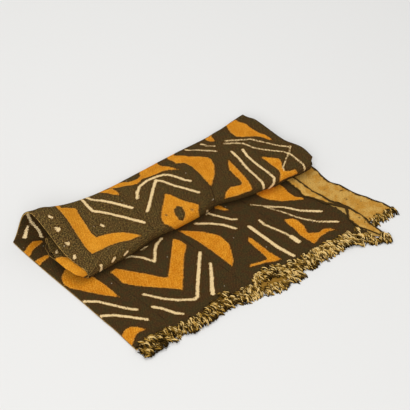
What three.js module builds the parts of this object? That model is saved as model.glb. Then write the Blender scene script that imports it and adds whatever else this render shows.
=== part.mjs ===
// Throw blanket of narrow hand-woven strips, folded in half lengthwise and then wound up
// loosely from its far end, so that its front end still lies flat and shows its fringe.
// Millimetres, +Z up. X runs along the fringe, Y from the fringe towards the back fold,
// and the origin is the middle of the flat underside.

import * as THREE from "three";

// Driving dimensions
const CLOTH_THICKNESS = 1.3;
const LAYER_GAP = 0.4;
const PASS_GAP = 0.6;
const DOUBLE = 2 * CLOTH_THICKNESS + LAYER_GAP;
const PITCH = DOUBLE + PASS_GAP;
const FOLD_RADIUS = DOUBLE / 2;
const INNER_FOLD_RADIUS = LAYER_GAP / 2;
const LAST_PASS = 12;
const FRONT_LENGTH = 80;
const FRONT_SHARE = 0.22;
const UNDER_ROLL = 200;
const ROLL_SHARE = 0.54;
const CURL_INNER_RADIUS = 0.5;
const CURL_ROOM = 2.6;
const CURL_ROOM_START = 470;
const CURL_ROOM_RUN = 25;
const CURL_END = 0.92;
const FLAT_ANGLE = 0.02;
const HEM_LIFT = 1.6;
const HEM_LIFT_DEPTH = 14;
const CORNER_DROOP = 2;
const WAVE_END = 150;
const WAVE_FADE = 90;
const ORIGIN_X = 290;
const ORIGIN_Y = 180;

// Fringe
const FRINGE_GAP = 0.3;
const FRINGE_BAND = 3;
const FRINGE_BAND_HEIGHT = 1.2;
const LOCK_WIDTH = 4.2;
const LOCK_PITCH = 5.8;
const LOCK_MIDDLE = 0.55;
const LOCK_SWELL = 0.56;
const LOCK_TIP_LIFT = 0.15;
const LOCK_SWAY = 0.7;
const FRINGE_DEPTH = 24;

// The folded cloth across its width, a row for each section: where the nose of the roll,
// the start of the back fold and the back of the inner turns lie, how far the back fold
// reaches and how high it stands, how thick the roll is at its nose, and how far forward
// the top begins to slope.
const SECTIONS = [
  { x: -10, nose: 200, backStart: 377, backReach: 9, backHeight: 32, roll: 26, slope: 235, coreBack: 320 },
  { x: 12, nose: 200, backStart: 377, backReach: 10, backHeight: 42, roll: 26, slope: 235, coreBack: 320 },
  { x: 35, nose: 200, backStart: 357, backReach: 24, backHeight: 66, roll: 26, slope: 235, coreBack: 322 },
  { x: 60, nose: 200, backStart: 344, backReach: 36, backHeight: 65, roll: 26.5, slope: 240, coreBack: 324 },
  { x: 90, nose: 199, backStart: 351, backReach: 27, backHeight: 51, roll: 27, slope: 255, coreBack: 325 },
  { x: 125, nose: 199, backStart: 361, backReach: 14, backHeight: 36, roll: 27.5, slope: 285, coreBack: 326 },
  { x: 160, nose: 202, backStart: 366, backReach: 9, backHeight: 26, roll: 28, slope: 336, coreBack: 328 },
  { x: 205, nose: 206, backStart: 366, backReach: 9, backHeight: 20, roll: 28, slope: 338, coreBack: 328 },
  { x: 250, nose: 200, backStart: 366, backReach: 9, backHeight: 18, roll: 28.5, slope: 338, coreBack: 328 },
  { x: 310, nose: 199, backStart: 366, backReach: 9, backHeight: 18.5, roll: 28.5, slope: 338, coreBack: 328 },
  { x: 345, nose: 203, backStart: 367, backReach: 9, backHeight: 18, roll: 27.5, slope: 338, coreBack: 328 },
  { x: 392, nose: 188, backStart: 367, backReach: 9, backHeight: 18, roll: 27, slope: 338, coreBack: 328 },
  { x: 460, nose: 174, backStart: 365, backReach: 9, backHeight: 18, roll: 26.5, slope: 337, coreBack: 327 },
  { x: 500, nose: 170, backStart: 365, backReach: 9, backHeight: 18, roll: 26, slope: 334, coreBack: 327 },
  { x: 540, nose: 166, backStart: 370, backReach: 9, backHeight: 18, roll: 26, slope: 336, coreBack: 326 },
  { x: 600, nose: 166, backStart: 376, backReach: 9, backHeight: 17, roll: 25.5, slope: 336, coreBack: 326 },
];

// The front hems of the upper and the lower layer, a row for each bend along the fringe.
const HEMS = [
  { x: -10, upper: 14, lower: 12 },
  { x: 25, upper: 17, lower: 13 },
  { x: 65, upper: 10, lower: 6 },
  { x: 100, upper: 3, lower: 0 },
  { x: 140, upper: 4, lower: 0 },
  { x: 185, upper: 16, lower: 2 },
  { x: 210, upper: 0, lower: -6 },
  { x: 240, upper: -3, lower: -16 },
  { x: 265, upper: 14, lower: -22 },
  { x: 290, upper: 17, lower: -26 },
  { x: 330, upper: 3, lower: -22 },
  { x: 360, upper: -5, lower: -17 },
  { x: 410, upper: -5, lower: -14 },
  { x: 450, upper: -12, lower: -12 },
  { x: 485, upper: -29, lower: -11 },
  { x: 530, upper: -60, lower: -9 },
  { x: 600, upper: -60, lower: -10 },
];

// The edges along the length. turn counts the passes from the front hem: 0 to 1 is the run on
// the ground, 1 to 2 the back fold, 2 to 3 the top, 3 to 4 the nose, and so on inwards.
const EDGES = [
  { turn: 0, left: -9, upperRight: 524, lowerRight: 591, curl: 9 },
  { turn: 0.05, left: -8, upperRight: 523, lowerRight: 590, curl: 23 },
  { turn: 0.08, left: -8, upperRight: 530, lowerRight: 586, curl: 27 },
  { turn: 0.1, left: -7, upperRight: 534, lowerRight: 583, curl: 28 },
  { turn: 0.13, left: -6, upperRight: 525, lowerRight: 581, curl: 20 },
  { turn: 0.17, left: -5, upperRight: 531, lowerRight: 575, curl: 7 },
  { turn: 0.2, left: -5, upperRight: 530, lowerRight: 572, curl: 8 },
  { turn: 0.225, left: -4, upperRight: 519, lowerRight: 571, curl: 15 },
  { turn: 0.28, left: -4, upperRight: 519, lowerRight: 570, curl: 18 },
  { turn: 0.34, left: -3, upperRight: 515, lowerRight: 562, curl: 24 },
  { turn: 0.4, left: -2, upperRight: 518, lowerRight: 565, curl: 20 },
  { turn: 0.47, left: -1, upperRight: 519, lowerRight: 571, curl: 20 },
  { turn: 0.7, left: 1, upperRight: 524, lowerRight: 572, curl: 16 },
  { turn: 0.9, left: 4, upperRight: 528, lowerRight: 574, curl: 6 },
  { turn: 1, left: 7, upperRight: 530, lowerRight: 574, curl: 2 },
  { turn: 1.25, left: 17, upperRight: 533, lowerRight: 574, curl: 2 },
  { turn: 1.5, left: 27, upperRight: 536, lowerRight: 573, curl: 2 },
  { turn: 2, left: 37, upperRight: 540, lowerRight: 572, curl: 2 },
  { turn: 2.25, left: 36, upperRight: 540, lowerRight: 570, curl: 2 },
  { turn: 2.6, left: 36, upperRight: 540, lowerRight: 565, curl: 2 },
  { turn: 2.82, left: 38, upperRight: 540, lowerRight: 574, curl: 2 },
  { turn: 3, left: 39, upperRight: 540, lowerRight: 567, curl: 2 },
  { turn: 3.3, left: 40, upperRight: 535, lowerRight: 555, curl: 2 },
  { turn: 4, left: 41, upperRight: 532, lowerRight: 550, curl: 2 },
  { turn: 4.4, left: 33, upperRight: 535, lowerRight: 558, curl: 2 },
  { turn: 4.8, left: 30, upperRight: 535, lowerRight: 562, curl: 2 },
  { turn: 5.2, left: 46, upperRight: 535, lowerRight: 562, curl: 2 },
  { turn: 6, left: 44, upperRight: 535, lowerRight: 562, curl: 2 },
  { turn: 6.2, left: 30, upperRight: 535, lowerRight: 562, curl: 2 },
  { turn: 6.4, left: 21, upperRight: 535, lowerRight: 562, curl: 2 },
  { turn: 6.7, left: 19, upperRight: 535, lowerRight: 561, curl: 2 },
  { turn: 7, left: 22, upperRight: 535, lowerRight: 560, curl: 2 },
  { turn: 7.5, left: 32, upperRight: 535, lowerRight: 560, curl: 2 },
  { turn: 8, left: 38, upperRight: 535, lowerRight: 560, curl: 2 },
  { turn: 9, left: 46, upperRight: 535, lowerRight: 560, curl: 2 },
  { turn: 13, left: 50, upperRight: 535, lowerRight: 560, curl: 2 },
];

// Soft waves of the upper layer in front of the roll
const WAVES = [
  { x: 187, reach: 45, height: 1.6 },
  { x: 300, reach: 50, height: 1.2 },
  { x: 440, reach: 40, height: 1 },
];

// Where the sections have their common points across the width
const CROSSINGS = [66, 110, 160, 190, 215, 245, 280, 335, 395, 455, 500];

const smooth = (value) => {
  const v = Math.min(Math.max(value, 0), 1);
  return v * v * (3 - 2 * v);
};

const mix = (a, b, share) => a + (b - a) * share;

// A smooth curve through one named column of a table, level beyond its ends
function column(rows, key, name) {
  return (at) => {
    const last = rows.length - 1;
    if (at <= rows[0][key]) return rows[0][name];
    if (at >= rows[last][key]) return rows[last][name];
    let i = 0;
    while (rows[i + 1][key] < at) i += 1;
    const span = rows[i + 1][key] - rows[i][key];
    const slopeAt = (k) => {
      if (k === 0 || k === last) return 0;
      const before = (rows[k][name] - rows[k - 1][name]) / (rows[k][key] - rows[k - 1][key]);
      const after = (rows[k + 1][name] - rows[k][name]) / (rows[k + 1][key] - rows[k][key]);
      return before * after <= 0 ? 0 : (2 * before * after) / (before + after);
    };
    const t = (at - rows[i][key]) / span;
    const rise = (rows[i + 1][name] - rows[i][name]);
    const m0 = slopeAt(i) * span;
    const m1 = slopeAt(i + 1) * span;
    return rows[i][name] + m0 * t + (3 * rise - 2 * m0 - m1) * t * t + (m0 + m1 - 2 * rise) * t ** 3;
  };
}

const noseAt = column(SECTIONS, "x", "nose");
const backStartAt = column(SECTIONS, "x", "backStart");
const backReachAt = column(SECTIONS, "x", "backReach");
const backHeightAt = column(SECTIONS, "x", "backHeight");
const rollAt = column(SECTIONS, "x", "roll");
const slopeAt = column(SECTIONS, "x", "slope");
const coreBackAt = column(SECTIONS, "x", "coreBack");
const upperHemAt = column(HEMS, "x", "upper");
const lowerHemAt = column(HEMS, "x", "lower");
const leftAt = column(EDGES, "turn", "left");
const upperRightAt = column(EDGES, "turn", "upperRight");
const lowerRightAt = column(EDGES, "turn", "lowerRight");
const curlAt = column(EDGES, "turn", "curl");

// How far the upper layer stands off the lower one on the ground: over the fringe below it,
// in soft waves, and down to the floor at the corner that hangs past the lower fringe
function liftAt(x, y) {
  const lowerHem = lowerHemAt(x);
  const overFringe = HEM_LIFT * smooth((lowerHem + HEM_LIFT_DEPTH - y) / HEM_LIFT_DEPTH);
  const droop = CORNER_DROOP * smooth((lowerHem - FRINGE_DEPTH - y) / HEM_LIFT_DEPTH);
  let wave = 0;
  for (const { x: centre, reach, height } of WAVES) wave += height * smooth(1 - Math.abs(x - centre) / reach);
  return overFringe + wave * smooth((WAVE_END - y) / WAVE_FADE) - droop;
}

// Extra room under the wound turns where the curled edge of the upper layer runs under them
const roomAt = (x) => CURL_ROOM * smooth((x - CURL_ROOM_START) / CURL_ROOM_RUN);

// The run on the ground at a share of its length, and at a height within the cloth
function groundPoint(x, depth, share) {
  const upperShare = Math.min(Math.max((depth - CLOTH_THICKNESS) / LAYER_GAP, 0), 1);
  const hem = mix(lowerHemAt(x), upperHemAt(x), upperShare);
  let y = 0;
  if (share < FRONT_SHARE) y = mix(hem, FRONT_LENGTH, share / FRONT_SHARE);
  else if (share < ROLL_SHARE)
    y = mix(FRONT_LENGTH, UNDER_ROLL, (share - FRONT_SHARE) / (ROLL_SHARE - FRONT_SHARE));
  else y = mix(UNDER_ROLL, backStartAt(x), (share - ROLL_SHARE) / (1 - ROLL_SHARE));
  return [y, depth + upperShare * liftAt(x, y)];
}

// A half turn or bend as an ellipse from the lower to the upper pass, set in by depth
function bendPoint(centreY, centreZ, reach, rise, angle, depth) {
  const acrossY = -rise * Math.sin(angle);
  const acrossZ = reach * Math.cos(angle);
  const size = Math.hypot(acrossY, acrossZ);
  return [
    centreY + reach * Math.sin(angle) + (depth * acrossY) / size,
    centreZ - rise * Math.cos(angle) + (depth * acrossZ) / size,
  ];
}

// The top of the roll from the back fold to the nose, set in by depth
function topPoint(x, depth, share) {
  const start = backStartAt(x);
  const room = roomAt(x);
  const rollTop = rollAt(x) + room;
  const rear = backHeightAt(x) + room;
  const end = noseAt(x) + (rollTop - PITCH - room) / 2;
  const slopeStart = slopeAt(x);
  const y = mix(start, end, share);
  const reach = start - slopeStart;
  const t = Math.min(Math.max((y - slopeStart) / reach, 0), 1);
  const z = rollTop + (rear - rollTop) * smooth(t);
  const gradient = ((rear - rollTop) * 6 * t * (1 - t)) / reach;
  const size = Math.hypot(1, gradient);
  return [y + (depth * gradient) / size, z - depth / size];
}

// A wound pass: which of the passes it is, counted from the ground run as 0, and the place on it
function woundPoint(x, depth, pass, share) {
  const room = roomAt(x);
  const rollTop = rollAt(x) + room;
  const firstFloor = PITCH + room;
  const noseCentre = noseAt(x) + (rollTop - firstFloor) / 2;
  const coreBack = coreBackAt(x);
  const ring = Math.floor((pass - 3) / 4);
  const kind = (pass - 3) % 4;
  const ceiling = rollTop - ring * PITCH;
  const floor = firstFloor + ring * PITCH;
  if (kind === 0) {
    const radius = (ceiling - floor) / 2;
    return bendPoint(noseCentre, (ceiling + floor) / 2, -radius, -radius, Math.PI * share, depth);
  }
  if (kind === 1) return [mix(noseCentre, coreBack, share), floor + depth];
  const innerCeiling = ceiling - PITCH;
  if (kind === 2) {
    const radius = (innerCeiling - floor) / 2;
    return bendPoint(coreBack, (innerCeiling + floor) / 2, radius, radius, Math.PI * share, depth);
  }
  return [mix(coreBack, noseCentre, share), innerCeiling - depth];
}

// The place of a point of the cloth: x across, depth through the folded cloth from its outer
// face, and turn along its length
function clothPoint(x, depth, turn) {
  const pass = Math.min(Math.floor(turn + 1e-9), LAST_PASS);
  const share = turn - pass;
  if (pass === 0) return [x, ...groundPoint(x, depth, share)];
  if (pass === 1) {
    const rise = (backHeightAt(x) + roomAt(x)) / 2;
    return [x, ...bendPoint(backStartAt(x), rise, backReachAt(x), rise, Math.PI * share, depth)];
  }
  if (pass === 2) return [x, ...topPoint(x, depth, share)];
  return [x, ...woundPoint(x, depth, pass, share)];
}

// The places across the width that a section's points share, from the fold at the left to the
// edge of the lower layer, and to the start of the upper layer's curl
function lowerStops(turn) {
  const foldX = leftAt(turn) + FOLD_RADIUS;
  const right = lowerRightAt(turn);
  const lastCrossing = CROSSINGS[CROSSINGS.length - 1];
  return [foldX, mix(foldX, CROSSINGS[0], 0.5), ...CROSSINGS, mix(lastCrossing, right, 0.5), right];
}

function upperStops(turn) {
  const foldX = leftAt(turn) + FOLD_RADIUS;
  const right = upperRightAt(turn) - CURL_INNER_RADIUS - CLOTH_THICKNESS;
  return [foldX, mix(foldX, CROSSINGS[0], 0.5), ...CROSSINGS, right];
}

// The closed outline of the folded cloth at one turn as points of x and depth: the lower layer
// outside, the fold at the left, and the upper layer with its curled right edge
function sectionOutline(turn) {
  const curl = curlAt(turn);
  const curlAngle = Math.max(Math.PI * (1 - smooth((turn - CURL_END) / (2 - CURL_END))), FLAT_ANGLE);
  const acrossLower = lowerStops(turn);
  const acrossUpper = upperStops(turn);
  const foldX = acrossLower[0];
  const upperRight = acrossUpper[acrossUpper.length - 1];
  const outline = [];
  for (const x of [...acrossLower].reverse()) outline.push([x, 0]);
  for (const angle of [45, 90, 135]) {
    const a = (angle * Math.PI) / 180;
    outline.push([foldX - FOLD_RADIUS * Math.sin(a), FOLD_RADIUS - FOLD_RADIUS * Math.cos(a)]);
  }
  for (const x of acrossUpper) outline.push([x, DOUBLE]);
  const bend = (Math.PI * (CURL_INNER_RADIUS + CLOTH_THICKNESS / 2)) / curlAngle;
  const curlPoint = (side, angle, run) => {
    const radius = bend + (side * CLOTH_THICKNESS) / 2;
    const x = upperRight + radius * Math.sin(angle) + run * Math.cos(angle);
    return [x, DOUBLE - CLOTH_THICKNESS / 2 + bend - radius * Math.cos(angle) + run * Math.sin(angle)];
  };
  outline.push(curlPoint(-1, curlAngle / 2, 0));
  outline.push(curlPoint(-1, curlAngle, 0));
  outline.push(curlPoint(-1, curlAngle, curl));
  outline.push(curlPoint(1, curlAngle, curl));
  outline.push(curlPoint(1, curlAngle, 0));
  outline.push(curlPoint(1, curlAngle / 2, 0));
  for (const x of [...acrossUpper].reverse()) outline.push([x, DOUBLE - CLOTH_THICKNESS]);
  outline.push([foldX - INNER_FOLD_RADIUS, FOLD_RADIUS]);
  for (const x of acrossLower) outline.push([x, CLOTH_THICKNESS]);
  return outline;
}

// The triangles of a section's end face: the outline's outer side, from the lower right edge round
// the fold to the end of the curl, is joined to the inner side that runs back beside it
function endFace(outline) {
  const lower = CROSSINGS.length + 4;
  const arc = 3;
  const upper = CROSSINGS.length + 3 + 3;
  const outerCount = lower + arc + upper;
  const innerOf = (k) => {
    if (k < lower) return outline.length - 1 - k;
    if (k < lower + arc) return outline.length - 1 - lower;
    return outline.length - 1 - (k - arc + 1);
  };
  const triangles = [];
  for (let k = 0; k + 1 < outerCount; k += 1) {
    triangles.push([k, k + 1, innerOf(k + 1)]);
    if (innerOf(k) !== innerOf(k + 1)) triangles.push([k, innerOf(k + 1), innerOf(k)]);
  }
  return triangles;
}

// Where the sections stand along the cloth: listed on the run on the ground and on the top of
// the roll, and in even steps on each later pass, more of them in the bends
function clothTurns() {
  const ground = [0, 0.06, 0.12, 0.19, 0.27, 0.34, 0.41, 0.48, 0.6, 0.72, 0.81, 0.88, 0.92, 0.96];
  const top = [2, 2.06, 2.13, 2.2, 2.33, 2.48, 2.64, 2.82];
  const backSteps = 8;
  const innerSteps = [7, 2, 5, 2, 5, 2, 4, 2, 4, 2];
  const turns = [...ground];
  for (let i = 0; i < backSteps; i += 1) turns.push(1 + i / backSteps);
  turns.push(...top);
  innerSteps.forEach((count, index) => {
    for (let i = 0; i < count; i += 1) turns.push(index + 3 + i / count);
  });
  turns.push(innerSteps.length + 3);
  return turns;
}

// A closed mesh from rings of points, with its two end faces. Each four-sided face is split from
// its lower left to its upper right corner whichever way the ring runs, so that the two sides of
// the cloth bend alike.
function loft(rings, startCap, endCap) {
  const positions = rings.flat(2);
  const count = rings[0].length;
  const indices = [];
  for (let r = 0; r + 1 < rings.length; r += 1) {
    for (let i = 0; i < count; i += 1) {
      const j = (i + 1) % count;
      const a = r * count + i;
      const b = r * count + j;
      const c = (r + 1) * count + j;
      const d = (r + 1) * count + i;
      if (rings[r][j][0] >= rings[r][i][0]) indices.push(a, b, c, a, c, d);
      else indices.push(a, b, d, b, c, d);
    }
  }
  const lastRing = (rings.length - 1) * count;
  for (const [a, b, c] of startCap) indices.push(a, c, b);
  for (const [a, b, c] of endCap) indices.push(lastRing + a, lastRing + b, lastRing + c);
  const geometry = new THREE.BufferGeometry();
  geometry.setAttribute("position", new THREE.Float32BufferAttribute(positions, 3));
  geometry.setIndex(indices);
  geometry.computeVertexNormals();
  return geometry;
}

function clothGeometry() {
  const turns = clothTurns();
  const outlines = turns.map(sectionOutline);
  const rings = outlines.map((outline, i) => outline.map(([x, depth]) => clothPoint(x, depth, turns[i])));
  return loft(rings, endFace(outlines[0]), endFace(outlines[outlines.length - 1]));
}

// The foremost place of a hem near x, on the straight runs between the sections' points
function hemFront(hemAt, stops, x) {
  const onLine = (at) => {
    let i = 0;
    while (i + 2 < stops.length && stops[i + 1] < at) i += 1;
    const share = Math.min(Math.max((at - stops[i]) / (stops[i + 1] - stops[i]), 0), 1);
    return mix(hemAt(stops[i]), hemAt(stops[i + 1]), share);
  };
  return Math.min(onLine(x - LOCK_WIDTH), onLine(x), onLine(x + LOCK_WIDTH));
}

// A fringe: a narrow band in front of a hem, with a row of curly locks growing out of it
function fringeGeometry({ from, to, stops, hemLine, baseAt, height, reach }) {
  const hemAt = (x) => hemFront(hemLine, stops, x);
  const count = Math.round((to - from) / LOCK_PITCH);
  const positions = [];
  const indices = [];
  const point = (x, y, z) => positions.push(x, y, z) / 3 - 1;
  const quad = (a, b, c, d) => indices.push(a, b, c, a, c, d);
  const station = (x) => {
    const rear = hemAt(x) - FRINGE_GAP;
    const base = baseAt(x, rear);
    return [
      point(x, rear, base),
      point(x, rear - FRINGE_BAND, base),
      point(x, rear - FRINGE_BAND, base + FRINGE_BAND_HEIGHT),
      point(x, rear, base + FRINGE_BAND_HEIGHT),
    ];
  };
  const lock = (near, far, i) => {
    const sway = Math.sin(i * 2.4) + 0.6 * Math.sin(i * 5.1 + 1);
    const length = reach * (1 + 0.16 * Math.sin(i * 1.7) + 0.12 * Math.sin(i * 4.3));
    const x = from + i * LOCK_PITCH + LOCK_WIDTH / 2;
    const front = hemAt(x) - FRINGE_GAP - FRINGE_BAND;
    const middleY = front - length * LOCK_MIDDLE;
    const base = baseAt(x, middleY);
    const half = LOCK_WIDTH * LOCK_SWELL;
    const shift = sway * LOCK_SWAY;
    const crown = base + height * (1 + 0.12 * Math.sin(i * 3.3));
    const ring = [
      point(x - half + shift, middleY, base),
      point(x + half + shift, middleY, base),
      point(x + half + shift, middleY, crown),
      point(x - half + shift, middleY, crown),
    ];
    const tip = point(x + shift * 2, front - length, base + LOCK_TIP_LIFT);
    const root = [near[1], far[1], far[2], near[2]];
    for (let k = 0; k < 4; k += 1) {
      const n = (k + 1) % 4;
      quad(root[k], root[n], ring[n], ring[k]);
      indices.push(ring[k], ring[n], tip);
    }
  };
  let previous = null;
  for (let i = 0; i < count; i += 1) {
    const x = from + i * LOCK_PITCH;
    const near = station(x);
    const far = station(x + LOCK_WIDTH);
    if (previous) {
      for (let k = 0; k < 4; k += 1) {
        const n = (k + 1) % 4;
        quad(previous[k], near[k], near[n], previous[n]);
      }
    } else {
      quad(near[0], near[1], near[2], near[3]);
    }
    quad(near[0], far[0], far[1], near[1]);
    quad(near[2], far[2], far[3], near[3]);
    quad(near[3], far[3], far[0], near[0]);
    lock(near, far, i);
    previous = far;
  }
  quad(previous[3], previous[2], previous[1], previous[0]);
  const geometry = new THREE.BufferGeometry();
  geometry.setAttribute("position", new THREE.Float32BufferAttribute(positions, 3));
  geometry.setIndex(indices);
  geometry.computeVertexNormals();
  return geometry;
}

const clothMaterial = new THREE.MeshStandardMaterial({ color: 0x3b3020, roughness: 0.95, metalness: 0 });
const fringeMaterial = new THREE.MeshStandardMaterial({ color: 0x6b5228, roughness: 0.95, metalness: 0 });

const blanket = new THREE.Group();
blanket.position.set(-ORIGIN_X, -ORIGIN_Y, 0);

function addPiece(name, geometry, material) {
  const mesh = new THREE.Mesh(geometry, material);
  mesh.name = name;
  blanket.add(mesh);
}

addPiece("cloth", clothGeometry(), clothMaterial);
addPiece("fringe_lower", fringeGeometry({
  from: -5,
  to: 590,
  stops: lowerStops(0),
  hemLine: lowerHemAt,
  baseAt: () => 0,
  height: 2,
  reach: 15,
}), fringeMaterial);
addPiece("fringe_upper", fringeGeometry({
  from: -5,
  to: 521,
  stops: upperStops(0),
  hemLine: upperHemAt,
  baseAt: (x, y) => CLOTH_THICKNESS + LAYER_GAP + liftAt(x, y),
  height: 4,
  reach: 14,
}), fringeMaterial);

export default blanket;
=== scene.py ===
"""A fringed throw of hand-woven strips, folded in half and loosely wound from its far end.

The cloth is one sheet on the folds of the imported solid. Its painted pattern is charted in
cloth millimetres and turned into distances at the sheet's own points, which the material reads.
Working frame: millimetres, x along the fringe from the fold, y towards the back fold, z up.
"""
import logging
import math
import random
from dataclasses import dataclass, field
from enum import Enum
from typing import Callable, NamedTuple, Sequence

import bmesh
import bpy
import numpy as np
from mathutils import Matrix, Vector


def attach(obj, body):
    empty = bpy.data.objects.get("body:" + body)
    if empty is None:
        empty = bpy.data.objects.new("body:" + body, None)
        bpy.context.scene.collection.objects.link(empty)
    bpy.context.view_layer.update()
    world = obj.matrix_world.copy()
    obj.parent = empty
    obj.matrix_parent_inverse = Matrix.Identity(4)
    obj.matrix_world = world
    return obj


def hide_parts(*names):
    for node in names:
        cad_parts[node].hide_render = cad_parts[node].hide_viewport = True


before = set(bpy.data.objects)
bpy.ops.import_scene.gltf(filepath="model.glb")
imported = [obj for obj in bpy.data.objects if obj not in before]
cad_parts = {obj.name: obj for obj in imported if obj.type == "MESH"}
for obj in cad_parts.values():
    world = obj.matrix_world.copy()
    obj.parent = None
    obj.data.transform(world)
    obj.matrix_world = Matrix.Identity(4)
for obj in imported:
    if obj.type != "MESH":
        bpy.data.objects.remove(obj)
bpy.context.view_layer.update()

logger = logging.getLogger("throw")

MM = 0.001
ORIGIN_X = 290.0
ORIGIN_Y = 180.0
CLOTH_THICKNESS = 1.3
LAYER_GAP = 0.4
PASS_GAP = 0.6
DOUBLE = 2 * CLOTH_THICKNESS + LAYER_GAP
PITCH = DOUBLE + PASS_GAP
FOLD_RADIUS = DOUBLE / 2
CURL_INNER_RADIUS = 0.5
CURL_ROOM = 2.6
CURL_ROOM_START = 470.0
CURL_ROOM_LENGTH = 25.0
CURL_END = 0.92
FLAT_ANGLE = 0.02
LAST_PASS = 12
FRONT_LENGTH = 80.0
FRONT_SHARE = 0.22
UNDER_ROLL = 200.0
ROLL_SHARE = 0.54
HEM_LIFT = 1.6
HEM_LIFT_DEPTH = 14.0
CORNER_DROOP = 2.0
CORNER_DEPTH = 24.0
WAVE_END = 150.0
WAVE_FADE = 90.0
WALL_CHART = 400.0
WALL_LENGTH = 100.0
PASS_LENGTH = 110.0
UNDER_CHART = 1000.0
SLOPE_STRETCH = 1.1

Range = tuple[float, float]
Points = tuple[tuple[float, float], ...]
Colour = tuple[float, float, float]
Array = np.ndarray
Pair = tuple[Array, Array]
Socket = bpy.types.NodeSocket
Material = bpy.types.Material


class Section(NamedTuple):
    """The folds of the blanket at one place along the fringe, in mm."""

    x: float
    nose: float
    back_start: float
    back_reach: float
    back_height: float
    roll: float
    slope: float
    core_back: float


class Hem(NamedTuple):
    """The front hems of both layers at one place along the fringe, in mm."""

    x: float
    upper: float
    lower: float


class Edge(NamedTuple):
    """The side edges at one turn of the cloth and the width of the curl, in mm."""

    turn: float
    left: float
    upper_right: float
    lower_right: float
    curl: float


class Wave(NamedTuple):
    """A soft swell in the front hem, in mm."""

    x: float
    reach: float
    height: float


class Tuft(NamedTuple):
    """The fringes at one place along the hem: reach of each in mm, lean in degrees and lightness."""

    x: float
    upper: float
    lower: float
    lean: float
    tone: float


class Layer(Enum):
    """The two layers of the folded cloth."""

    LOWER = 0
    UPPER = 1


class Paint(Enum):
    """What a charted shape does: it is painted orange, or left bare within the orange."""

    ORANGE = "orange"
    BARE = "bare"


class Patch(NamedTuple):
    """A charted shape on one layer: its outline in mm across and along the cloth."""

    layer: Layer
    outline: Points
    paint: Paint = Paint.ORANGE


class Stroke(NamedTuple):
    """A drawn line on one layer: its width and points in mm, and its start's share of that width."""

    layer: Layer
    width: float
    path: Points
    start: float = 1.0


class Crease(NamedTuple):
    """A soft ridge on one layer: its height, its half width and its points in mm."""

    layer: Layer
    height: float
    half_width: float
    path: Points


class Dab(NamedTuple):
    """A colour laid on where a value is near one end of a range: full there, none at the other."""

    full: float
    none: float
    share: float
    colour: Colour


class Blot(NamedTuple):
    """A dab laid on by a noise of its own."""

    scale: float
    detail: float
    dab: Dab


class Lock(NamedTuple):
    """One lock of a fringe: its root's x and y in mm, how high it is heaped, lean and lightness."""

    x: float
    y: float
    heap: float
    lean: float
    tone: float


class Lamp(NamedTuple):
    """A square soft light: its place and width in metres and its power in watts."""

    name: str
    place: tuple[float, float, float]
    size: float
    power: float


UPPER = Layer.UPPER
LOWER = Layer.LOWER

SECTIONS = tuple(Section(*row) for row in (
    (-10, 200, 377, 9, 32, 26, 235, 320), (12, 200, 377, 10, 42, 26, 235, 320),
    (35, 200, 357, 24, 66, 26, 235, 322), (60, 200, 344, 36, 65, 26.5, 240, 324),
    (90, 199, 351, 27, 51, 27, 255, 325), (125, 199, 361, 14, 36, 27.5, 285, 326),
    (160, 202, 366, 9, 26, 28, 336, 328), (205, 206, 366, 9, 20, 28, 338, 328),
    (250, 200, 366, 9, 18, 28.5, 338, 328), (310, 199, 366, 9, 18.5, 28.5, 338, 328),
    (345, 203, 367, 9, 18, 27.5, 338, 328), (392, 188, 367, 9, 18, 27, 338, 328),
    (460, 174, 365, 9, 18, 26.5, 337, 327), (500, 170, 365, 9, 18, 26, 334, 327),
    (540, 166, 370, 9, 18, 26, 336, 326), (600, 166, 376, 9, 17, 25.5, 336, 326),
))

HEMS = tuple(Hem(*row) for row in (
    (-10, 14, 12), (25, 17, 13), (65, 10, 6), (100, 3, 0), (140, 4, 0), (185, 16, 2), (210, 0, -6),
    (240, -3, -16), (265, 14, -22), (290, 17, -26), (330, 3, -22), (360, -5, -17), (410, -5, -14),
    (450, -12, -12), (485, -29, -11), (530, -60, -9), (600, -60, -10),
))

EDGES = tuple(Edge(*row) for row in (
    (0, -9, 524, 591, 9), (0.05, -8, 523, 590, 23), (0.08, -8, 530, 586, 27), (0.1, -7, 534, 583, 28),
    (0.13, -6, 525, 581, 20), (0.17, -5, 531, 575, 7), (0.2, -5, 530, 572, 8), (0.225, -4, 519, 571, 15),
    (0.28, -4, 519, 570, 18), (0.34, -3, 515, 562, 24), (0.4, -2, 518, 565, 20), (0.47, -1, 519, 571, 20),
    (0.7, 1, 524, 572, 16), (0.9, 4, 528, 574, 6), (1, 7, 530, 574, 2), (1.25, 17, 533, 574, 2),
    (1.5, 27, 536, 573, 2), (2, 37, 540, 572, 2), (2.25, 36, 540, 570, 2), (2.6, 36, 540, 565, 2),
    (2.82, 38, 540, 574, 2), (3, 39, 540, 567, 2), (3.3, 40, 535, 555, 2), (4, 41, 532, 550, 2),
    (4.4, 33, 535, 558, 2), (4.8, 30, 535, 562, 2), (5.2, 46, 535, 562, 2), (6, 44, 535, 562, 2),
    (6.2, 30, 535, 562, 2), (6.4, 21, 535, 562, 2), (6.7, 19, 535, 561, 2), (7, 22, 535, 560, 2),
    (7.5, 32, 535, 560, 2), (8, 38, 535, 560, 2), (9, 46, 535, 560, 2), (13, 50, 535, 560, 2),
))

WAVES = tuple(Wave(*row) for row in (
    (187, 45, 1.6), (300, 50, 1.2), (440, 40, 1.0),
))

LOCK_TONES = (0.36, 0.44, 0.52, 0.62, 0.74, 0.88)
STRAND_TONES = (-0.45, -0.32, -0.1, 0.18, 0.52)

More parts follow.
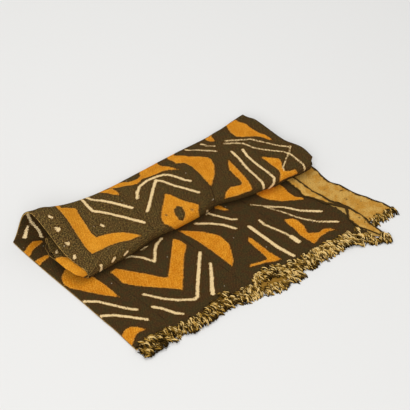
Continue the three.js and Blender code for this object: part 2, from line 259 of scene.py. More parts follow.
TUFTS = tuple(Tuft(*row) for row in (
    (-6, 36, 24, 25, -0.08), (40, 33, 22, 20, -0.12), (90, 25, 20, -15, -0.02), (150, 24, 18, 10, -0.04),
    (185, 32, 20, 25, -0.04), (212, 30, 22, 0, 0.02), (235, 12, 16, -20, 0.06), (262, 15, 18, -10, 0.22),
    (285, 34, 20, 15, 0.04), (330, 32, 22, 20, 0.0), (375, 30, 22, -10, 0.08), (400, 28, 22, 0, 0.26),
    (440, 28, 22, 15, 0.04), (475, 32, 22, 10, 0.06), (500, 30, 20, -15, 0.02), (523, 20, 20, -30, 0.04),
    (591, 14, 20, -30, -0.22),
))

PATCHES = tuple(Patch(*row) for row in (
    # The front panel, from the roll down to the hem and from the fold to the raw edge
    (UPPER, ((3, 221), (8, 236), (18, 246), (31, 253), (38, 250), (46, 230), (54, 205), (56, 170),
     (54, 133), (48, 140), (30, 165), (17, 188), (5, 207))),
    (UPPER, ((84, 195), (98, 195), (125, 154), (144, 122), (150, 116), (182, 146), (227, 191), (233, 182),
     (234, 163), (228, 156), (207, 138), (148, 74), (136, 90), (113, 115), (90, 141), (81, 157),
     (84, 177))),
    (UPPER, ((-12, 45), (0, 58), (10, 62), (20, 61), (28, 53), (36, 38), (24, 42), (12, 39), (2, 31),
     (-12, 21))),
    (UPPER, ((250, 203), (262, 191), (281, 170), (295, 145), (296, 135), (292, 112), (281, 93), (267, 73),
     (254, 62), (256, 90), (257, 118), (256, 157), (253, 180))),
    (UPPER, ((276, 40), (280, 45), (299, 38), (313, 35), (317, 42), (321, 78), (324, 95), (331, 103),
     (334, 97), (331, 47), (333, 19), (320, 22), (306, 30))),
    (UPPER, ((416, 97), (428, 89), (432, 79), (429, 60), (420, 40), (434, 28), (451, 29), (460, 22),
     (466, 11), (454, 18), (430, 18), (407, 10), (405, 43), (410, 62), (412, 85))),
    (UPPER, ((430, 192), (431, 173), (437, 157), (450, 139), (468, 126), (484, 116), (487, 121),
     (479, 132), (478, 149), (483, 167), (482, 192))),
    (UPPER, ((340, 212), (355, 212), (359, 186), (352, 190))),
    (UPPER, ((-12, 300), (5, 307), (25, 308), (32, 305), (30, 300), (20, 297), (11, 296), (2, 291),
     (-12, 282))),
    (UPPER, ((-12, 318), (4, 324), (8, 326), (21, 335), (38, 339), (45, 341), (52, 350), (41, 353),
     (32, 354), (18, 348), (11, 343), (-12, 338))),
    # The end of the roll's inner turn, seen in its mouth
    (LOWER, ((8, -268), (20, -270), (34, -276), (39, -284), (46, -292), (60, -300), (60, -385),
     (40, -383), (8, -372))),
    # The flap on top of the roll, from its nose to the back fold
    (LOWER, ((74, 58), (76, 77), (81, 106), (86, 142), (90, 178), (98, 180), (113, 178), (128, 173),
     (122, 156), (115, 127), (109, 104), (109, 90), (122, 86), (138, 77), (153, 65), (163, 52), (171, 36),
     (149, 41), (132, 49), (110, 56))),
    (LOWER, ((98, 176), (104, 194), (122, 209), (147, 216), (138, 228), (120, 240), (108, 238),
     (114, 225), (108, 209), (96, 195), (90, 176))),
    (LOWER, ((282, 104), (288, 96), (291, 77), (296, 61), (307, 39), (299, 29), (297, 21), (305, 0),
     (248, 0), (240, 17), (225, 33), (226, 42), (234, 56), (249, 73), (268, 90))),
    (LOWER, ((253, 30), (261, 25), (271, 33), (280, 53), (275, 61), (263, 57), (255, 43)), Paint.BARE),
    (LOWER, ((199, 193), (215, 190), (227, 188), (224, 175), (219, 156), (216, 150), (208, 163),
     (209, 178))),
    (LOWER, ((222, 194), (238, 209), (261, 219), (290, 223), (320, 221), (355, 215), (349, 205),
     (341, 190), (337, 170), (348, 148), (352, 139), (338, 151), (324, 159), (305, 162), (280, 167),
     (264, 161), (251, 165), (239, 178))),
    (LOWER, ((244, 200), (261, 208), (280, 214), (303, 213), (299, 199), (289, 184), (276, 176),
     (265, 181), (257, 192)), Paint.BARE),
    (LOWER, ((239, 53), (242, 50), (245, 53), (242, 56)), Paint.BARE),
    (LOWER, ((285, 35), (288, 32), (291, 35), (288, 38)), Paint.BARE),
    (LOWER, ((360, 161), (371, 153), (374, 138), (372, 116), (367, 91), (361, 62), (376, 80), (394, 101),
     (409, 122), (419, 143), (418, 153), (409, 163), (392, 174), (384, 186), (380, 198), (392, 214),
     (404, 232), (392, 234), (376, 216), (366, 195))),
    (LOWER, ((362, 23), (371, 36), (388, 48), (400, 45), (410, 46), (415, 57), (418, 78), (423, 99),
     (432, 113), (442, 126), (439, 111), (430, 70), (424, 47), (416, 25), (390, 24))),
    (LOWER, ((493, 96), (500, 89), (507, 80), (514, 70), (511, 60), (501, 46), (497, 32), (504, 29),
     (516, 28), (519, 18), (500, 18), (474, 20), (484, 31), (490, 42), (491, 67))),
    (LOWER, ((524, 232), (548, 232), (547, 205), (544, 186), (544, 163), (549, 143), (548, 125),
     (543, 129), (538, 147), (528, 157), (513, 166), (503, 177), (504, 192), (513, 211))),
    (LOWER, ((459, 196), (463, 220), (479, 221), (472, 206), (465, 192))),
    (LOWER, ((424, 14), (458, 15), (480, 0), (440, 0))),
))

STROKES = tuple(Stroke(*row) for row in (
    # The front panel
    (UPPER, 5.5, ((-10, 163), (2, 164), (19, 148), (36, 117), (47, 98), (56, 87))),
    (UPPER, 6, ((-10, 113), (1, 115), (19, 101), (34, 82), (53, 56))),
    (UPPER, 5, ((126, 209), (140, 203), (153, 186), (161, 164), (183, 189), (195, 199), (214, 206))),
    (UPPER, 3, ((160, 211), (166, 204), (179, 206))),
    (UPPER, 6, ((89, 110), (109, 77), (125, 59), (147, 41), (155, 43), (173, 63), (238, 130)), 0.9),
    (UPPER, 6, ((80, 74), (90, 59), (99, 37), (107, 27))),
    (UPPER, 5.2, ((179, 30), (192, 47), (211, 69), (231, 94)), 1.5),
    (UPPER, 5.5, ((286, 197), (308, 178), (322, 160), (332, 137))),
    (UPPER, 5, ((324, 203), (336, 178), (344, 162), (351, 156))), (UPPER, 3, ((318, 203), (330, 208))),
    (UPPER, 7, ((354, 125), (353, 85), (352, 47), (356, 12))),
    (UPPER, 4.5, ((380, 126), (378, 110), (385, 81), (390, 56))), (UPPER, 9, ((390, 52), (390, 33))),
    (UPPER, 6, ((399, 171), (414, 153), (424, 142), (442, 122), (456, 96), (483, 68)), 0.5),
    (UPPER, 5, ((416, 147), (424, 126), (430, 112), (436, 90), (444, 71), (458, 51), (485, 27)), 0.45),
    # The wall inside the mouth of the roll
    (UPPER, 6, ((41, 438), (36, 431), (28, 414)), 0.7),
    (UPPER, 5, ((37, 490), (40, 472), (45, 458), (48, 449), (51, 439), (55, 431), (57, 420), (53, 407))),
    # The flap
    (LOWER, 6, ((173, 219), (168, 209), (156, 199), (158, 188), (153, 168), (151, 150), (165, 127),
     (180, 100), (199, 57))),
    (LOWER, 6.5, ((206, 213), (185, 206), (170, 195), (172, 184), (178, 168), (193, 142), (201, 125),
     (209, 105))),
    (LOWER, 6, ((199, 194), (215, 202), (229, 212), (242, 220))),
    (LOWER, 5.5, ((224, 81), (247, 104), (272, 127), (296, 147), (304, 136), (311, 112), (321, 90),
     (332, 62))),
    (LOWER, 5.5, ((235, 125), (248, 142), (262, 152), (283, 157), (305, 155), (318, 150), (327, 140),
     (333, 125), (338, 108), (344, 98))),
    (LOWER, 4.8, ((464, 144), (460, 120), (450, 85), (445, 50), (440, 20))),
    (LOWER, 4.8, ((484, 136), (477, 115), (473, 85), (471, 50), (468, 30), (461, 20), (452, 15))),
    (LOWER, 3.8, ((471, 175), (485, 163), (498, 150), (503, 127), (521, 99), (536, 83), (541, 68),
     (538, 40), (536, 19))),
    (LOWER, 3.8, ((480, 179), (496, 166), (517, 153), (528, 130), (542, 106), (557, 86))),
    (LOWER, 2.2, ((561, 88), (545, 76), (523, 61), (502, 45), (495, 34))),
    (LOWER, 4.5, ((411, 208), (414, 196), (420, 184), (432, 173), (444, 163))),
    (LOWER, 3.5, ((440, 188), (453, 178))), (LOWER, 5, ((444, 207), (443, 195))),
    (LOWER, 4.5, ((317, 18), (327, 5))), (LOWER, 5, ((53, 134), (57, 130), (53, 129))),
    (LOWER, 4.6, ((51, 103), (55, 101), (53, 99))), (LOWER, 5.5, ((44, 69), (48, 74))),
    (LOWER, 5, ((57, 160), (59, 155))), (LOWER, 5, ((137, 111), (138, 104))),
    (LOWER, 5, ((70, 25), (68, 13))), (LOWER, 4.4, ((94, 22), (101, 26))),
    (LOWER, 4, ((121, 22), (130, 25))), (LOWER, 5, ((84, 225), (92, 227))),
    (LOWER, 5, ((36, -257), (33, -262))),
))

WORN = tuple(Stroke(*row) for row in (
    (UPPER, 8, ((511, 82), (517, 62))), (UPPER, 9, ((518, 58), (517, 34))),
    (UPPER, 17, ((520, 26), (515, 0), (512, -25), (510, -45)), 0.7),
))

SEAMS = tuple(Stroke(*row) for row in (
    (UPPER, 0.6, ((74, -80), (74, 380))), (UPPER, 0.6, ((240, -80), (240, 380))),
    (UPPER, 0.6, ((395, -80), (395, 380))), (LOWER, 0.6, ((74, 0), (74, 300))),
    (LOWER, 0.6, ((196, 0), (200, 36), (209, 92), (216, 147), (222, 240))),
    (LOWER, 0.6, ((330, 0), (342, 27), (361, 64), (373, 112), (382, 154), (388, 240))),
    (LOWER, 0.6, ((500, 0), (500, 300))),
))

CREASES = tuple(Crease(*row) for row in (
    (LOWER, 2.6, 17, ((326, 40), (348, 62), (364, 112), (374, 154), (378, 190))),
    (LOWER, 1.2, 14, ((202, 50), (209, 92), (216, 147))),
    (LOWER, 1.4, 22, ((66, 60), (70, 110), (84, 160))),
    (LOWER, 1.3, 26, ((430, 60), (452, 110), (470, 150))),
    (LOWER, 1.2, 24, ((120, 40), (150, 90), (168, 150))),
    (LOWER, 1.2, 20, ((520, 70), (528, 120), (520, 180))),
    (UPPER, 1.1, 26, ((74, 20), (80, 90), (84, 170))), (UPPER, 1, 30, ((170, 150), (250, 60), (262, 20))),
    (UPPER, 1.2, 24, ((395, 20), (388, 90), (396, 160))),
    (UPPER, 1, 22, ((455, 150), (480, 90), (490, 40))),
))

# The parts of the cloth's grid that can be seen: columns from and to, turns from and to
SHOWN = ((0, 1, 1.3, 4), (0, 0.14, 0, 0.6), (0.92, 1, 4, 8), (2, 3, 0, 0.58), (2, 2.15, 0, 2))


def smooth(value: Array | float) -> Array:
    """Steps softly from 0 to 1 as a value does."""
    v = np.clip(value, 0.0, 1.0)
    return v * v * (3 - 2 * v)


def through(rows: Sequence[NamedTuple], name: str, at: Array | float) -> Array:
    """Follows a smooth curve through one column of a table, level beyond its ends.

    Args:
        rows: The table, in order of its first column.
        name: The column to follow.
        at: The places to read, as in the first column.

    Returns:
        The column's value at each place.
    """
    keys = np.array([row[0] for row in rows], dtype=float)
    values = np.array([getattr(row, name) for row in rows], dtype=float)
    steps = np.diff(keys)
    rises = np.diff(values)
    rates = rises / steps
    slopes = np.zeros(len(keys))
    same = rates[:-1] * rates[1:] > 0
    slopes[1:-1][same] = 2 * rates[:-1][same] * rates[1:][same] / (rates[:-1][same] + rates[1:][same])
    x = np.clip(at, keys[0], keys[-1])
    i = np.clip(np.searchsorted(keys, x, side="right") - 1, 0, len(steps) - 1)
    t = (x - keys[i]) / steps[i]
    m0 = slopes[i] * steps[i]
    m1 = slopes[i + 1] * steps[i]
    return values[i] + m0 * t + (3 * rises[i] - 2 * m0 - m1) * t**2 + (m0 + m1 - 2 * rises[i]) * t**3


def sizes(x: Array, *names: str) -> list[Array]:
    """Reads columns of SECTIONS at places along the fringe."""
    return [through(SECTIONS, name, x) for name in names]


def room(x: Array) -> Array:
    """Gives the extra height that the curled edge takes under the roll, in mm."""
    return CURL_ROOM * smooth((x - CURL_ROOM_START) / CURL_ROOM_LENGTH)


def front_lift(x: Array, y: Array) -> Array:
    """Gives how far the upper layer's front stands off the lower layer.

    Args:
        x: Places along the fringe, in mm.
        y: Places towards the back, in mm.

    Returns:
        The lift at each place, in mm.
    """
    low = through(HEMS, "lower", x)
    over = HEM_LIFT * smooth((low + HEM_LIFT_DEPTH - y) / HEM_LIFT_DEPTH)
    droop = CORNER_DROOP * smooth((low - CORNER_DEPTH - y) / HEM_LIFT_DEPTH)
    wave = sum(w.height * smooth(1 - np.abs(x - w.x) / w.reach) for w in WAVES)
    return over + wave * smooth((WAVE_END - y) / WAVE_FADE) - droop


def run_length(x: Array, turn: Array, upper: Array, y: Array) -> Array:
    """Measures places along the cloth as the pattern's charts do.

    Args:
        x: Places across the cloth, in mm.
        turn: How far round the cloth.
        upper: True on the upper layer.
        y: The points' y in the working frame, in mm.

    Returns:
        On the upper layer mm from the front, and WALL_CHART and more inside the roll. On the lower
        layer mm up from under the nose, less than 0 inside the roll and UNDER_CHART and more on
        the floor.
    """
    start, top, roll, reach, height = sizes(x, "back_start", "nose", "roll", "back_reach", "back_height")
    radius = (roll - PITCH) / 2
    nose = math.pi * radius
    flap = np.hypot(start - (top + radius), SLOPE_STRETCH * np.abs(height - roll))
    half = height / 2
    back = math.pi * np.sqrt((reach**2 + half**2) / 2)
    on_flap = np.where(turn > 4, -PASS_LENGTH * (turn - 4), (4 - turn) * nose)
    on_flap = np.where(turn < 3, nose + (3 - turn) * flap, on_flap)
    on_flap = np.where(turn < 2, nose + flap + (2 - turn) * back, on_flap)
    on_flap = np.where(turn < 1, UNDER_CHART + y, on_flap)
    on_panel = np.where(turn >= 1, WALL_CHART + WALL_LENGTH * (turn - 1), y)
    return np.where(upper, on_panel, on_flap)


@dataclass(frozen=True)
class Fold:
    """The way the flat cloth lies once it is folded and wound."""

    thickness: float = CLOTH_THICKNESS

    def bend(self, centre: Pair, reach: Array, rise: Array, angle: Array, depth: Array) -> Pair:
        """Carries points round half an ellipse.

        Args:
            centre: The y and z of its middle, in mm.
            reach: Its half width along y.
            rise: Its half height.
            angle: How far round from its lowest point, in radians.
            depth: How far inside the outermost face.

        Returns:
            The y and z of each point, in mm.
        """
        ny = -rise * np.sin(angle)
        nz = reach * np.cos(angle)
        size = np.hypot(ny, nz)
        y = centre[0] + reach * np.sin(angle) + depth * ny / size
        z = centre[1] - rise * np.cos(angle) + depth * nz / size
        return y, z

    def ground(self, x: Array, depth: Array, share: Array) -> Pair:
        """Places points of the run on the floor.

        Args:
            x: Places along the fringe, in mm.
            depth: How far inside the outermost face, in mm.
            share: How far along the run.

        Returns:
            The y and z of each point, in mm.
        """
        upper = np.clip((depth - self.thickness) / LAYER_GAP, 0, 1)
        front = through(HEMS, "lower", x) * (1 - upper) + through(HEMS, "upper", x) * upper
        start = sizes(x, "back_start")[0]
        near = front + (FRONT_LENGTH - front) * share / FRONT_SHARE
        beyond = (UNDER_ROLL - FRONT_LENGTH) * (share - FRONT_SHARE)
        middle = FRONT_LENGTH + beyond / (ROLL_SHARE - FRONT_SHARE)
        far = UNDER_ROLL + (start - UNDER_ROLL) * (share - ROLL_SHARE) / (1 - ROLL_SHARE)
        y = np.where(share < FRONT_SHARE, near, np.where(share < ROLL_SHARE, middle, far))
        return y, depth + upper * front_lift(x, y)

    def back(self, x: Array, depth: Array, share: Array) -> Pair:
        """Places points of the back fold.

        Args:
            x: Places along the fringe, in mm.
            depth: How far inside the outermost face, in mm.
            share: How far round the fold.

        Returns:
            The y and z of each point, in mm.
        """
        start, reach, height = sizes(x, "back_start", "back_reach", "back_height")
        rise = (height + room(x)) / 2
        return self.bend((start, rise), reach, rise, math.pi * share, depth)

    def top(self, x: Array, depth: Array, share: Array) -> Pair:
        """Places points of the flap on top of the roll.

        Args:
            x: Places along the fringe, in mm.
            depth: How far inside the outermost face, in mm.
            share: How far along the flap.

        Returns:
            The y and z of each point, in mm.
        """
        start, roll, height, nose, slope = sizes(x, "back_start", "roll", "back_height", "nose", "slope")
        above = roll + room(x)
        rear = height + room(x)
        end = nose + (above - PITCH - room(x)) / 2
        y = start + (end - start) * share
        run = start - slope
        t = np.clip((y - slope) / run, 0, 1)
        z = above + (rear - above) * smooth(t)
        grade = (rear - above) * 6 * t * (1 - t) / run
        size = np.hypot(1, grade)
        return y + depth * grade / size, z - depth / size

    def wound(self, x: Array, depth: Array, turn: Array) -> Pair:
        """Places points of the turns inside the roll.

        Args:
            x: Places along the fringe, in mm.
            depth: How far inside the outermost face, in mm.
            turn: How far round the cloth.

        Returns:
            The y and z of each point, in mm.
        """
        passes = np.minimum(np.floor(turn + 1e-9), LAST_PASS)
        share = turn - passes
        roll, front, core = sizes(x, "roll", "nose", "core_back")
        above = roll + room(x)
        first = PITCH + room(x)
        nose = front + (above - first) / 2
        ring = (passes - 3) // 4
        kind = ((passes - 3) % 4).astype(int)
        ceiling = above - ring * PITCH
        floor = first + ring * PITCH
        inner = ceiling - PITCH
        half = (ceiling - floor) / 2
        y0, z0 = self.bend((nose, (ceiling + floor) / 2), -half, -half, math.pi * share, depth)
        y1, z1 = nose + (core - nose) * share, floor + depth
        tight = (inner - floor) / 2
        y2, z2 = self.bend((core, (inner + floor) / 2), tight, tight, math.pi * share, depth)
        y3, z3 = core + (nose - core) * share, inner - depth
        return np.choose(kind, [y0, y1, y2, y3]), np.choose(kind, [z0, z1, z2, z3])

    def place(self, x: Array, depth: Array, turn: Array) -> Array:
        """Places points of the cloth in the working frame.

        Args:
            x: Places across the cloth, in mm.
            depth: How far inside the outermost face, in mm.
            turn: How far round the cloth, 0 at the hem and 1 more for each run or bend.

        Returns:
            One row of x, y and z for each point, in mm.
        """
        points = np.zeros((len(x), 3))
        points[:, 0] = x
        makers = ((turn < 1, self.ground, 0), ((turn >= 1) & (turn < 2), self.back, 1),
                  ((turn >= 2) & (turn < 3), self.top, 2), (turn >= 3, self.wound, 0))
        for chosen, maker, start in makers:
            if chosen.any():
                points[chosen, 1], points[chosen, 2] = maker(x[chosen], depth[chosen], turn[chosen] - start)
        return points


@dataclass(frozen=True)
class Pattern:
    """The painted pattern as distances from its edges, for points at u across and v along, in mm."""

    u: Array
    v: Array
    upper: Array
    far: float = 60.0

    def from_line(self, path: Points, closed: bool = False,
                  halves: Range = (0.0, 0.0)) -> Array:
        """Measures how far the points are from a line.

        Args:
            path: The line's own points.
            closed: Whether the line returns to its start.
            halves: Half the line's width at its start and its end, in mm.

        Returns:
            The distances in mm.
        """
        ends = path[1:] + path[:1] if closed else path[1:]
        widths = np.linspace(halves[0], halves[1], len(ends) + 1)
        nearest = np.full(len(self.u), self.far)
        for (ax, ay), (bx, by), here, there in zip(path, ends, widths, widths[1:]):
            dx, dy = bx - ax, by - ay
            along = np.clip(((self.u - ax) * dx + (self.v - ay) * dy) / (dx * dx + dy * dy), 0, 1)
            gap = np.hypot(self.u - ax - along * dx, self.v - ay - along * dy)
            nearest = np.minimum(nearest, gap - here - (there - here) * along)
        return nearest

    def inside(self, outline: Points) -> Array:
        """Tells which points lie inside an outline.

        Args:
            outline: The outline's own points.

        Returns:
            True for each point inside.
        """
        within = np.zeros(len(self.u), dtype=bool)
        for (ax, ay), (bx, by) in zip(outline, outline[1:] + outline[:1]):
            if ay == by:
                continue
            crosses = (ay > self.v) != (by > self.v)
            within ^= crosses & (self.u < ax + (self.v - ay) * (bx - ax) / (by - ay))
        return within

    def orange(self) -> Array:
        """Measures distances from the orange shapes.

        Returns:
            The distances in mm, less than 0 inside the shapes.
        """
        found = np.full(len(self.u), self.far)
        for patch in PATCHES:
            line = self.from_line(patch.outline, True)
            signed = np.where(self.inside(patch.outline), -line, line)
            if patch.paint is Paint.ORANGE:
                merged = np.minimum(found, signed)
            else:
                merged = np.maximum(found, -signed)
            found = np.where(self.upper == (patch.layer is UPPER), merged, found)
        return found

    def drawn(self, strokes: tuple[Stroke, ...]) -> Array:
        """Measures distances from drawn lines.

        Args:
            strokes: The lines.

        Returns:
            The distances in mm, less than 0 on the lines.
        """
        found = np.full(len(self.u), self.far)
        for stroke in strokes:
            half = stroke.width / 2
            line = self.from_line(stroke.path, halves=(half * stroke.start, half))
            found = np.where(self.upper == (stroke.layer is UPPER), np.minimum(found, line), found)
        return found

    def ridges(self) -> Array:
        """Gives how far the soft creases stand up.

        Returns:
            The height at each point, in mm.
        """
        found = np.zeros(len(self.u))
        for crease in CREASES:
            ridge = crease.height * smooth(1 - self.from_line(crease.path) / crease.half_width)
            found = np.where(self.upper == (crease.layer is UPPER), np.maximum(found, ridge), found)
        return found


def row_frame(x: float, y: float, z: float) -> Vector:
    """Turns a place in the working frame into one in the row frame, in metres."""
    return Vector(((x - ORIGIN_X) * MM, (y - ORIGIN_Y) * MM, z * MM))


def add_object(name: str, mesh: bmesh.types.BMesh) -> bpy.types.Object:
    """Makes a shown object from a bmesh.

    Args:
        name: The object's name.
        mesh: Its geometry in the row frame, freed here.

    Returns:
        The linked object.
    """
    data = bpy.data.meshes.new(name)
    mesh.to_mesh(data)
    mesh.free()
    thing = bpy.data.objects.new(name, data)
    bpy.context.scene.collection.objects.link(thing)
    return thing


class Shader:
    """Builds one node material."""

    def __init__(self, name: str) -> None:
        """Starts a material.

        Args:
            name: Its name.
        """
        self.material = bpy.data.materials.new(name)
        self.material.use_nodes = True
        self.tree = self.material.node_tree
        self.surface = self.tree.nodes["Principled BSDF"]

    def node(self, kind: str, inputs: dict | None = None, **settings: object) -> bpy.types.Node:
        """Adds a node.

        Args:
            kind: The node's type name.
            inputs: What its sockets take, a number, a colour or another socket.
            settings: Its own properties.

        Returns:
            The node.
        """
        made = self.tree.nodes.new(kind)
        for key, value in settings.items():
            setattr(made, key, value)
        for key, value in (inputs or {}).items():
            if isinstance(value, Socket):
                self.tree.links.new(value, made.inputs[key])
            else:
                made.inputs[key].default_value = value
        return made

    def math(self, operation: str, first: object, second: object = 0.0) -> Socket:
        """Works out one sum and returns its socket."""
        return self.node("ShaderNodeMath", {0: first, 1: second}, operation=operation).outputs[0]

    def step(self, value: object, full: float, none: float) -> Socket:
        """Steps softly from 1 at full to 0 at none."""
        inputs = {"Value": value, "From Min": full, "From Max": none, "To Min": 1.0, "To Max": 0.0}
        return self.node("ShaderNodeMapRange", inputs, interpolation_type="SMOOTHSTEP").outputs[0]

    def swing(self, value: Socket, amount: float) -> Socket:
        """Centres a grey value on 0 and stretches it."""
        return self.math("MULTIPLY", self.math("SUBTRACT", value, 0.5), amount)

    def blend(self, factor: Socket, first: Socket | Colour, second: Socket | Colour) -> Socket:
        """Blends two colours and returns the socket."""
        low, high = (value if isinstance(value, Socket) else (*value, 1.0) for value in (first, second))
        return self.node("ShaderNodeMix", {0: factor, 6: low, 7: high}, data_type="RGBA").outputs[2]

    def noise(self, place: Socket, scale: float, detail: float) -> Socket:
        """Adds a noise and returns its grey value."""
        inputs = {"Vector": place, "Scale": scale, "Detail": detail, "Roughness": 0.6}
        return self.node("ShaderNodeTexNoise", inputs).outputs[0]

    def attribute(self, name: str) -> Socket:
        """Reads a number stored on the mesh."""
        return self.node("ShaderNodeAttribute", attribute_name=name).outputs["Fac"]

    def lay(self, base: Socket | Colour, value: Socket, dab: Dab, mask: object = 1.0) -> Socket:
        """Lays a dab on a colour where a value says so and a mask lets it."""
        share = self.math("MULTIPLY", self.step(value, dab.full, dab.none), dab.share)
        return self.blend(self.math("MULTIPLY", share, mask), base, dab.colour)

    def blot(self, base: Socket | Colour, place: Socket, blot: Blot, mask: object = 1.0) -> Socket:
        """Lays a dab on a colour by a noise."""
        return self.lay(base, self.noise(place, blot.scale, blot.detail), blot.dab, mask)

    def bump(self, height: Socket, strength: float, distance: float) -> None:
        """Gives the surface small bumps."""
        bump = self.node("ShaderNodeBump", {"Height": height, "Strength": strength, "Distance": distance})
        self.tree.links.new(bump.outputs[0], self.surface.inputs["Normal"])

    def finish(self, colour: Socket | Colour, roughness: float = 0.92, specular: float = 0.02) -> Material:
        """Dresses the surface.

        Args:
            colour: Its colour.
            roughness: How matt it is.
            specular: How much it mirrors.

        Returns:
            The material.
        """
        if isinstance(colour, Socket):
            self.tree.links.new(colour, self.surface.inputs["Base Color"])
        else:
            self.surface.inputs["Base Color"].default_value = (*colour, 1.0)
        self.surface.inputs["Roughness"].default_value = roughness
        self.surface.inputs["Specular IOR Level"].default_value = specular
        return self.material


@dataclass(frozen=True)
class Weave:
    """The coarse plain weave of the strips."""

    threads: float = 520.0
    strength: float = 0.5
    depth: float = 0.0007
    wander: float = 0.0022
    wander_scale: float = 60.0
    fluff: float = 1.6
    fluff_scale: float = 900.0
    shade: float = 0.17
    speckle_scale: float = 430.0

    def build(self, shader: Shader) -> tuple[Socket, Socket]:
        """Adds the weave's bumps.

        Args:
            shader: The material it goes into.

        Returns:
            The cloth's flat place and the threads' lightness, about 0.5.
        """
        flat = shader.node("ShaderNodeUVMap", uv_map="flat").outputs[0]
        inputs = {"Vector": flat, "Scale": self.wander_scale, "Detail": 1.0}
        noise = shader.node("ShaderNodeTexNoise", inputs)
        reach = (self.wander, self.wander, 0.0)
        moved = shader.node("ShaderNodeVectorMath", {0: noise.outputs[1], 1: reach}, operation="MULTIPLY")
        place = shader.node("ShaderNodeVectorMath", {0: flat, 1: moved.outputs[0]}, operation="ADD")
        split = shader.node("ShaderNodeSeparateXYZ", {0: place.outputs[0]})
        phases = [shader.math("MULTIPLY", split.outputs[axis], self.threads * math.pi) for axis in (0, 1)]
        product = shader.math("MULTIPLY", *(shader.math("SINE", phase) for phase in phases))
        fluff = shader.math("MULTIPLY", shader.noise(flat, self.fluff_scale, 3.0), self.fluff)
        shader.bump(shader.math("ADD", product, fluff), self.strength, self.depth)
        threads = shader.math("MULTIPLY", product, self.shade)
        return flat, shader.math("ADD", shader.noise(flat, self.speckle_scale, 1.0), threads)


